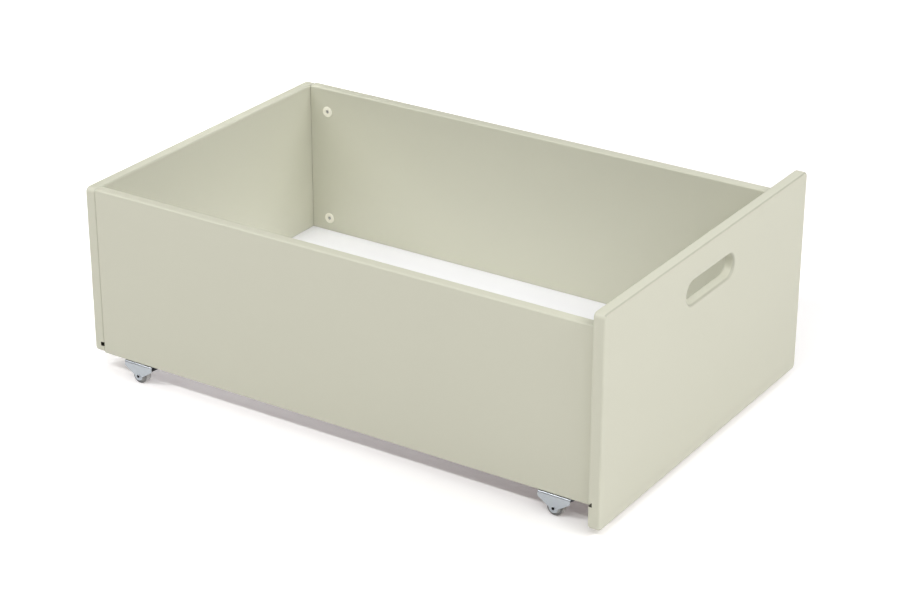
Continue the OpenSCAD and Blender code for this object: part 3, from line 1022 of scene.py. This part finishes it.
# Camera fitted to the straight edges of the box
photoCamera = {
    "place": (-2.8208, -1.8551, 1.6930),
    "azimuth": -56.866,
    "elevation": 24.909,
    "roll": 0.087,
    "lens": 98.60,
    "sensor": 36.0,
    "clipEnd": 100.0,
}


def addRange(tree, reach):
    start, end = reach
    return addNode(tree, "ShaderNodeMapRange", {"From Min": start, "From Max": end})


# White floor that glows with painted light and shadow, and can be looked through from below
def makeFloor():
    bm = bmesh.new()
    bmesh.ops.create_grid(bm, x_segments=1, y_segments=1, size=stage["floorSize"] / 2)
    floor = newPiece("studioFloor", bm)
    material = bpy.data.materials.new("floorWhite")
    material.use_nodes = True
    tree = material.node_tree
    link = tree.links.new
    shader = tree.nodes["Principled BSDF"]
    shader.inputs["Roughness"].default_value = stage["floorRoughness"]
    shader.inputs["Specular IOR Level"].default_value = stage["floorSpecular"]
    shader.inputs["Emission Strength"].default_value = 1.0
    place = addNode(tree, "ShaderNodeTexCoord")
    reach = addNode(tree, "ShaderNodeVectorMath", {1: stage["glowMiddle"]}, operation="DISTANCE")
    parts = addNode(tree, "ShaderNodeSeparateXYZ")
    spread = addRange(tree, stage["glowReach"])
    ahead = addRange(tree, stage["glowAhead"])
    fade = addRange(tree, stage["backdropReach"])
    stronger = addNode(tree, "ShaderNodeMath", operation="MAXIMUM")
    path = addNode(tree, "ShaderNodeLightPath")
    seen = addNode(tree, "ShaderNodeMath", operation="MULTIPLY")
    # painted light: the floor's glow, dimmer near glowMiddle to paint the shadow under the box
    glow = addNode(tree, "ShaderNodeMix", {colorA: stage["nearGlow"], colorB: stage["farGlow"]},
                   data_type="RGBA")
    tone = addNode(tree, "ShaderNodeMix", {colorA: stage["bounceColor"], colorB: stage["floorColor"]},
                   data_type="RGBA")
    shown = addNode(tree, "ShaderNodeMix", {colorB: stage["backdropColor"]}, data_type="RGBA")
    link(place.outputs["Object"], reach.inputs[0])
    link(place.outputs["Object"], parts.inputs[0])
    link(reach.outputs["Value"], spread.inputs["Value"])
    link(reach.outputs["Value"], fade.inputs["Value"])
    link(parts.outputs["Y"], ahead.inputs["Value"])
    link(spread.outputs[0], stronger.inputs[0])
    link(ahead.outputs[0], stronger.inputs[1])
    link(stronger.outputs[0], glow.inputs[mixFactor])
    link(path.outputs["Is Camera Ray"], tone.inputs[mixFactor])
    link(tone.outputs[mixedColor], shader.inputs["Base Color"])
    link(fade.outputs[0], seen.inputs[0])
    link(path.outputs["Is Camera Ray"], seen.inputs[1])
    link(seen.outputs[0], shown.inputs[mixFactor])
    link(glow.outputs[mixedColor], shown.inputs[colorA])
    link(shown.outputs[mixedColor], shader.inputs["Emission Color"])
    clear = addNode(tree, "ShaderNodeBsdfTransparent")
    facing = addNode(tree, "ShaderNodeNewGeometry")
    mix = addNode(tree, "ShaderNodeMixShader")
    link(facing.outputs["Backfacing"], mix.inputs[0])
    link(shader.outputs[0], mix.inputs[1])
    link(clear.outputs[0], mix.inputs[2])
    link(mix.outputs[0], tree.nodes["Material Output"].inputs["Surface"])
    floor.data.materials.append(material)


def makePanelLight(name, place, aim, width, height, glow, spread=180):
    light = bpy.data.lights.new(name, "AREA")
    light.shape = "RECTANGLE"
    light.size = width
    light.size_y = height
    light.energy = glow * math.pi * width * height
    light.spread = math.radians(spread)
    lamp = bpy.data.objects.new(name, light)
    lamp.location = place
    lamp.rotation_euler = (Vector(aim) - Vector(place)).to_track_quat("-Z", "Y").to_euler()
    scene.collection.objects.link(lamp)


# Faint fill light, with a white backdrop where the camera looks past the floor
def makeWorld():
    world = bpy.data.worlds.new("studioWorld")
    world.use_nodes = True
    tree = world.node_tree
    fill = tree.nodes["Background"]
    fill.inputs["Color"].default_value = stage["fillColor"]
    fill.inputs["Strength"].default_value = stage["fillStrength"]
    backdrop = addNode(tree, "ShaderNodeBackground",
                       {"Color": stage["backdropColor"], "Strength": stage["backdropStrength"]})
    path = addNode(tree, "ShaderNodeLightPath")
    mix = addNode(tree, "ShaderNodeMixShader")
    link = tree.links.new
    link(path.outputs["Is Camera Ray"], mix.inputs[0])
    link(fill.outputs[0], mix.inputs[1])
    link(backdrop.outputs[0], mix.inputs[2])
    link(mix.outputs[0], tree.nodes["World Output"].inputs["Surface"])
    scene.world = world


def makeCamera():
    view = bpy.data.cameras.new("photoCamera")
    view.lens = photoCamera["lens"]
    view.sensor_fit = "HORIZONTAL"
    view.sensor_width = photoCamera["sensor"]
    view.clip_end = photoCamera["clipEnd"]
    camera = bpy.data.objects.new("photoCamera", view)
    swing = Matrix.Rotation(math.radians(photoCamera["azimuth"]), 4, "Z")
    tilt = Matrix.Rotation(math.radians(90 - photoCamera["elevation"]), 4, "X")
    roll = Matrix.Rotation(math.radians(photoCamera["roll"]), 4, "Z")
    camera.matrix_world = Matrix.Translation(photoCamera["place"]) @ swing @ tilt @ roll
    scene.collection.objects.link(camera)
    scene.camera = camera


makeFloor()
for name, values in panels.items():
    makePanelLight(name, *values)
makeWorld()
makeCamera()
scene.view_settings.view_transform = "Standard"
print("studio made")
